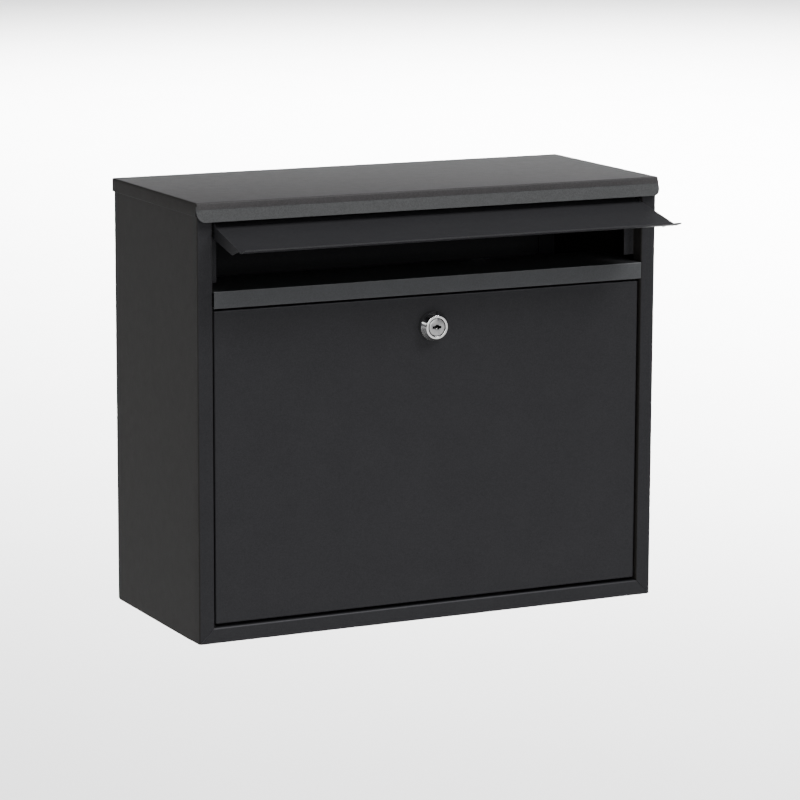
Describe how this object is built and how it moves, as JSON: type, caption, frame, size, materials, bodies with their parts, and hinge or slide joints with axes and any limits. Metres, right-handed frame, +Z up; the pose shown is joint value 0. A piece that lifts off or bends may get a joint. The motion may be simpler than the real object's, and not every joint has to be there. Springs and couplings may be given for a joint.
{
  "type": "wall mounted mailbox",
  "caption": "Sheet-steel wall mailbox with a lift-up letter flap, a drop-down pan door with a cam lock and a flared roof lip.",
  "frame": {"origin": "centre of the back panel's rear face, on the wall plane", "axes": "+Z up, +Y into the wall, the front faces -Y, +X along the width"},
  "size_m": [0.3806, 0.2198, 0.3256],
  "materials": {
    "powder_coat": "fine-textured matt powder coat",
    "chrome": "polished",
    "zinc": "zinc plated",
    "nylon": "moulded"
  },
  "bodies": {
    "box": {"side_panel_left": "powder_coat", "side_panel_right": "powder_coat", "bottom_panel": "powder_coat", "back_panel": "powder_coat", "roof_cap": "powder_coat", "slot_sill": "powder_coat", "flap_pin_left": "zinc", "flap_pin_right": "zinc", "door_pin_left": "zinc", "door_pin_right": "zinc", "flap_washer_left": "nylon", "flap_washer_right": "nylon", "door_washer_left": "nylon", "door_washer_right": "nylon", "back_rivet_left_1": "zinc", "back_rivet_left_2": "zinc", "back_rivet_left_3": "zinc", "back_rivet_right_1": "zinc", "back_rivet_right_2": "zinc", "back_rivet_right_3": "zinc", "back_rivet_floor_1": "zinc", "back_rivet_floor_2": "zinc", "back_rivet_floor_3": "zinc"},
    "flap": {"mail_flap": "powder_coat"},
    "door": {"door_panel": "powder_coat", "lock_housing": "chrome", "lock_washer": "zinc", "lock_nut": "zinc"},
    "lock": {"lock_plug": "chrome", "lock_cam": "zinc", "cam_screw": "zinc"}
  },
  "joints": [
    {"name": "flap_hinge", "type": "hinge", "parent": "box", "child": "flap", "pos_m": [0, -0.157, 0.14185], "axis": [1, 0, 0], "range_deg": [-20, 68]},
    {"name": "door_hinge", "type": "hinge", "parent": "box", "child": "door", "pos_m": [0, -0.155, -0.14325], "axis": [1, 0, 0], "range_deg": [0, 110]},
    {"name": "lock_turn", "type": "hinge", "parent": "door", "child": "lock", "pos_m": [0, -0.159, 0.06075], "axis": [0, -1, 0], "range_deg": [0, 90]}
  ]
}
